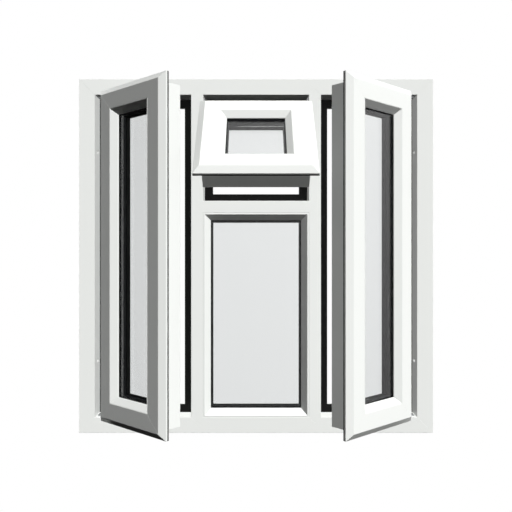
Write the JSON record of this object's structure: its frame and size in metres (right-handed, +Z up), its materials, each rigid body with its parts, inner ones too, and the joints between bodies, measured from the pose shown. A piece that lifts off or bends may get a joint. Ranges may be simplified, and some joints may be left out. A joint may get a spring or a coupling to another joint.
{
  "type": "casement window",
  "caption": "Square white casement window: side-hung sashes at both sides, a top-hung vent over a fixed light, all on hidden friction stays.",
  "frame": {"origin": "centre of the outer frame's underside", "axes": "+X right as seen from outside, +Y into the room, +Z up"},
  "size_m": [1, 0.2957, 1],
  "materials": {
    "upvc_white": "satin",
    "handle_white": "satin",
    "clear_glass": "polished",
    "spacer_black": "matte",
    "seal_rubber": "matte",
    "packer_plastic": "matte",
    "stainless": "brushed",
    "galvanised_steel": "matte",
    "shoe_brass": "satin"
  },
  "bodies": {
    "frame": {"head": "upvc_white", "sill": "upvc_white", "left_jamb": "upvc_white", "right_jamb": "upvc_white", "left_mullion": "upvc_white", "right_mullion": "upvc_white", "transom": "upvc_white", "frame_steel": "galvanised_steel", "mullion_steel": "galvanised_steel", "bay_seals": "seal_rubber", "fixed_beads": "upvc_white", "fixed_panes": "clear_glass", "fixed_spacer": "spacer_black", "fixed_seals": "seal_rubber", "fixed_packers": "packer_plastic", "stay_tracks": "stainless", "track_screws": "stainless", "strikers": "stainless"},
    "left_arms": {"left_long_arms": "stainless"},
    "left_sash": {"left_rails": "upvc_white", "left_stiles": "upvc_white", "left_beads": "upvc_white", "left_panes": "clear_glass", "left_spacer": "spacer_black", "left_glazing_seals": "seal_rubber", "left_weather_seal": "seal_rubber", "left_stay_bars": "stainless", "left_handle_base": "handle_white"},
    "left_links": {"left_short_arms": "stainless"},
    "left_shoes": {"left_stay_shoes": "shoe_brass"},
    "left_handle": {"left_handle_lever": "handle_white"},
    "right_arms": {"right_long_arms": "stainless"},
    "right_sash": {"right_rails": "upvc_white", "right_stiles": "upvc_white", "right_beads": "upvc_white", "right_panes": "clear_glass", "right_spacer": "spacer_black", "right_glazing_seals": "seal_rubber", "right_weather_seal": "seal_rubber", "right_stay_bars": "stainless", "right_handle_base": "handle_white"},
    "right_links": {"right_short_arms": "stainless"},
    "right_shoes": {"right_stay_shoes": "shoe_brass"},
    "right_handle": {"right_handle_lever": "handle_white"},
    "vent_arms": {"vent_long_arms": "stainless"},
    "vent_sash": {"vent_rails": "upvc_white", "vent_stiles": "upvc_white", "vent_beads": "upvc_white", "vent_panes": "clear_glass", "vent_spacer": "spacer_black", "vent_glazing_seals": "seal_rubber", "vent_weather_seal": "seal_rubber", "vent_stay_bars": "stainless", "vent_handle_base": "handle_white"},
    "vent_links": {"vent_short_arms": "stainless"},
    "vent_shoes": {"vent_stay_shoes": "shoe_brass"},
    "vent_handle": {"vent_handle_lever": "handle_white"}
  },
  "joints": [
    {"name": "left_opening", "type": "hinge", "parent": "frame", "child": "left_arms", "pos_m": [-0.2825, -0.014, 0.5], "axis": [0, 0, 1], "range_deg": [-42.7, 17.3]},
    {"name": "left_sash_pivot", "type": "hinge", "parent": "left_arms", "child": "left_sash", "pos_m": [-0.35342, -0.07944, 0.5], "axis": [0, 0, 1], "range_deg": [-34.6, 85.4]},
    {"name": "left_link_pivot", "type": "hinge", "parent": "left_sash", "child": "left_links", "pos_m": [-0.39751, -0.03875, 0.5], "axis": [0, 0, 1], "range_deg": [-85.4, 34.6]},
    {"name": "left_shoe_pivot", "type": "hinge", "parent": "left_links", "child": "left_shoes", "pos_m": [-0.37069, -0.014, 0.5], "axis": [0, 0, 1], "range_deg": [-17.3, 42.7]},
    {"name": "left_handle_turn", "type": "hinge", "parent": "left_sash", "child": "left_handle", "pos_m": [-0.22931, -0.1477, 0.5], "axis": [-0.6782, -0.7349, 0], "range_deg": [0, 90]},
    {"name": "right_opening", "type": "hinge", "parent": "frame", "child": "right_arms", "pos_m": [0.2825, -0.014, 0.5], "axis": [0, 0, -1], "range_deg": [-42.7, 17.3]},
    {"name": "right_sash_pivot", "type": "hinge", "parent": "right_arms", "child": "right_sash", "pos_m": [0.35342, -0.07944, 0.5], "axis": [0, 0, -1], "range_deg": [-34.6, 85.4]},
    {"name": "right_link_pivot", "type": "hinge", "parent": "right_sash", "child": "right_links", "pos_m": [0.39751, -0.03875, 0.5], "axis": [0, 0, -1], "range_deg": [-85.4, 34.6]},
    {"name": "right_shoe_pivot", "type": "hinge", "parent": "right_links", "child": "right_shoes", "pos_m": [0.37069, -0.014, 0.5], "axis": [0, 0, -1], "range_deg": [-17.3, 42.7]},
    {"name": "right_handle_turn", "type": "hinge", "parent": "right_sash", "child": "right_handle", "pos_m": [0.22931, -0.1477, 0.5], "axis": [0.6782, -0.7349, 0], "range_deg": [-90, 0]},
    {"name": "vent_opening", "type": "hinge", "parent": "frame", "child": "vent_arms", "pos_m": [0, -0.014, 0.7825], "axis": [1, 0, 0], "range_deg": [-42.7, 17.3]},
    {"name": "vent_sash_pivot", "type": "hinge", "parent": "vent_arms", "child": "vent_sash", "pos_m": [0, -0.07944, 0.85342], "axis": [1, 0, 0], "range_deg": [-34.6, 85.4]},
    {"name": "vent_link_pivot", "type": "hinge", "parent": "vent_sash", "child": "vent_links", "pos_m": [0, -0.03875, 0.89751], "axis": [1, 0, 0], "range_deg": [-85.4, 34.6]},
    {"name": "vent_shoe_pivot", "type": "hinge", "parent": "vent_links", "child": "vent_shoes", "pos_m": [0, -0.014, 0.87069], "axis": [1, 0, 0], "range_deg": [-17.3, 42.7]},
    {"name": "vent_handle_turn", "type": "hinge", "parent": "vent_sash", "child": "vent_handle", "pos_m": [0, -0.16635, 0.7091], "axis": [0, -0.7349, 0.6782], "range_deg": [0, 90]}
  ],
  "couplings": [
    {"joint": "left_sash_pivot", "follows": "left_opening", "ratio": -2},
    {"joint": "left_link_pivot", "follows": "left_opening", "ratio": 2},
    {"joint": "left_shoe_pivot", "follows": "left_opening", "ratio": -1},
    {"joint": "right_sash_pivot", "follows": "right_opening", "ratio": -2},
    {"joint": "right_link_pivot", "follows": "right_opening", "ratio": 2},
    {"joint": "right_shoe_pivot", "follows": "right_opening", "ratio": -1},
    {"joint": "vent_sash_pivot", "follows": "vent_opening", "ratio": -2},
    {"joint": "vent_link_pivot", "follows": "vent_opening", "ratio": 2},
    {"joint": "vent_shoe_pivot", "follows": "vent_opening", "ratio": -1}
  ]
}
